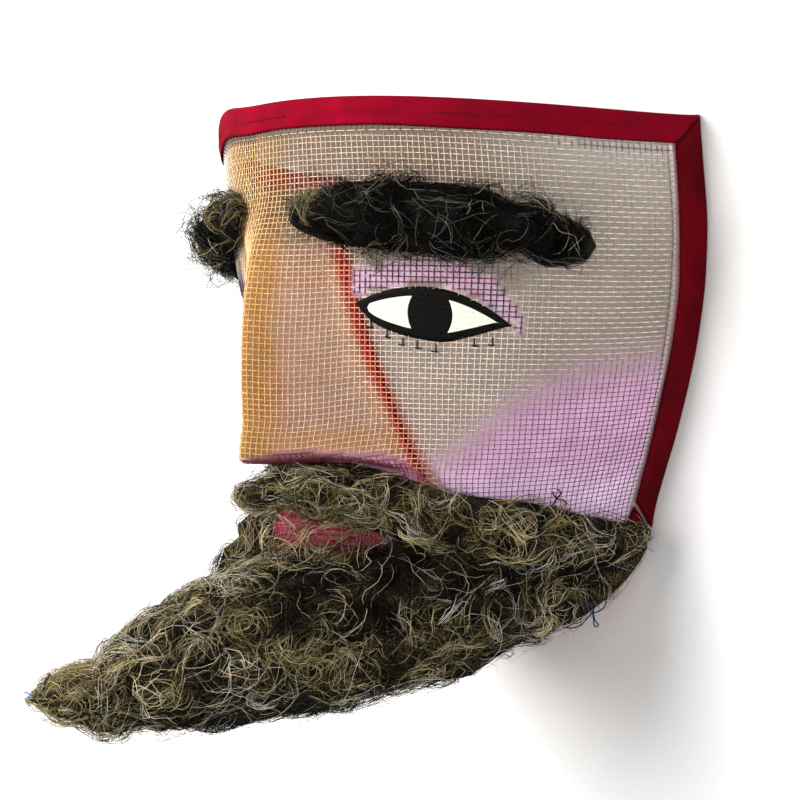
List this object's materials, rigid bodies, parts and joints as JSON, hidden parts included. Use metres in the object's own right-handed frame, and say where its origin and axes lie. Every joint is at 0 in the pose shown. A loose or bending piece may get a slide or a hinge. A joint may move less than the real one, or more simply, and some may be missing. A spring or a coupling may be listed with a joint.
{
  "type": "festival face mask",
  "caption": "Chinelo dance mask of painted wire cloth with a taped edge, sewn-on brows and moustache and a long forward-pointing hair beard, lying on its back rim.",
  "frame": {"origin": "centre of the bottom of the bounding box, level with the back rim that the mask lies on", "axes": "+X towards the wearer's left, +Y up the forehead, +Z out of the face"},
  "size_m": [0.1834, 0.1733, 0.1815],
  "materials": {
    "wire_cloth": "matte",
    "velvet_tape": "matte",
    "dark_hair": "matte",
    "beard_hair": "matte"
  },
  "bodies": {
    "root": {"wire_mesh_face": "wire_cloth", "edge_binding": "velvet_tape", "eyebrow_left": "dark_hair", "eyebrow_right": "dark_hair", "moustache": "dark_hair", "beard": "beard_hair"}
  },
  "joints": []
}
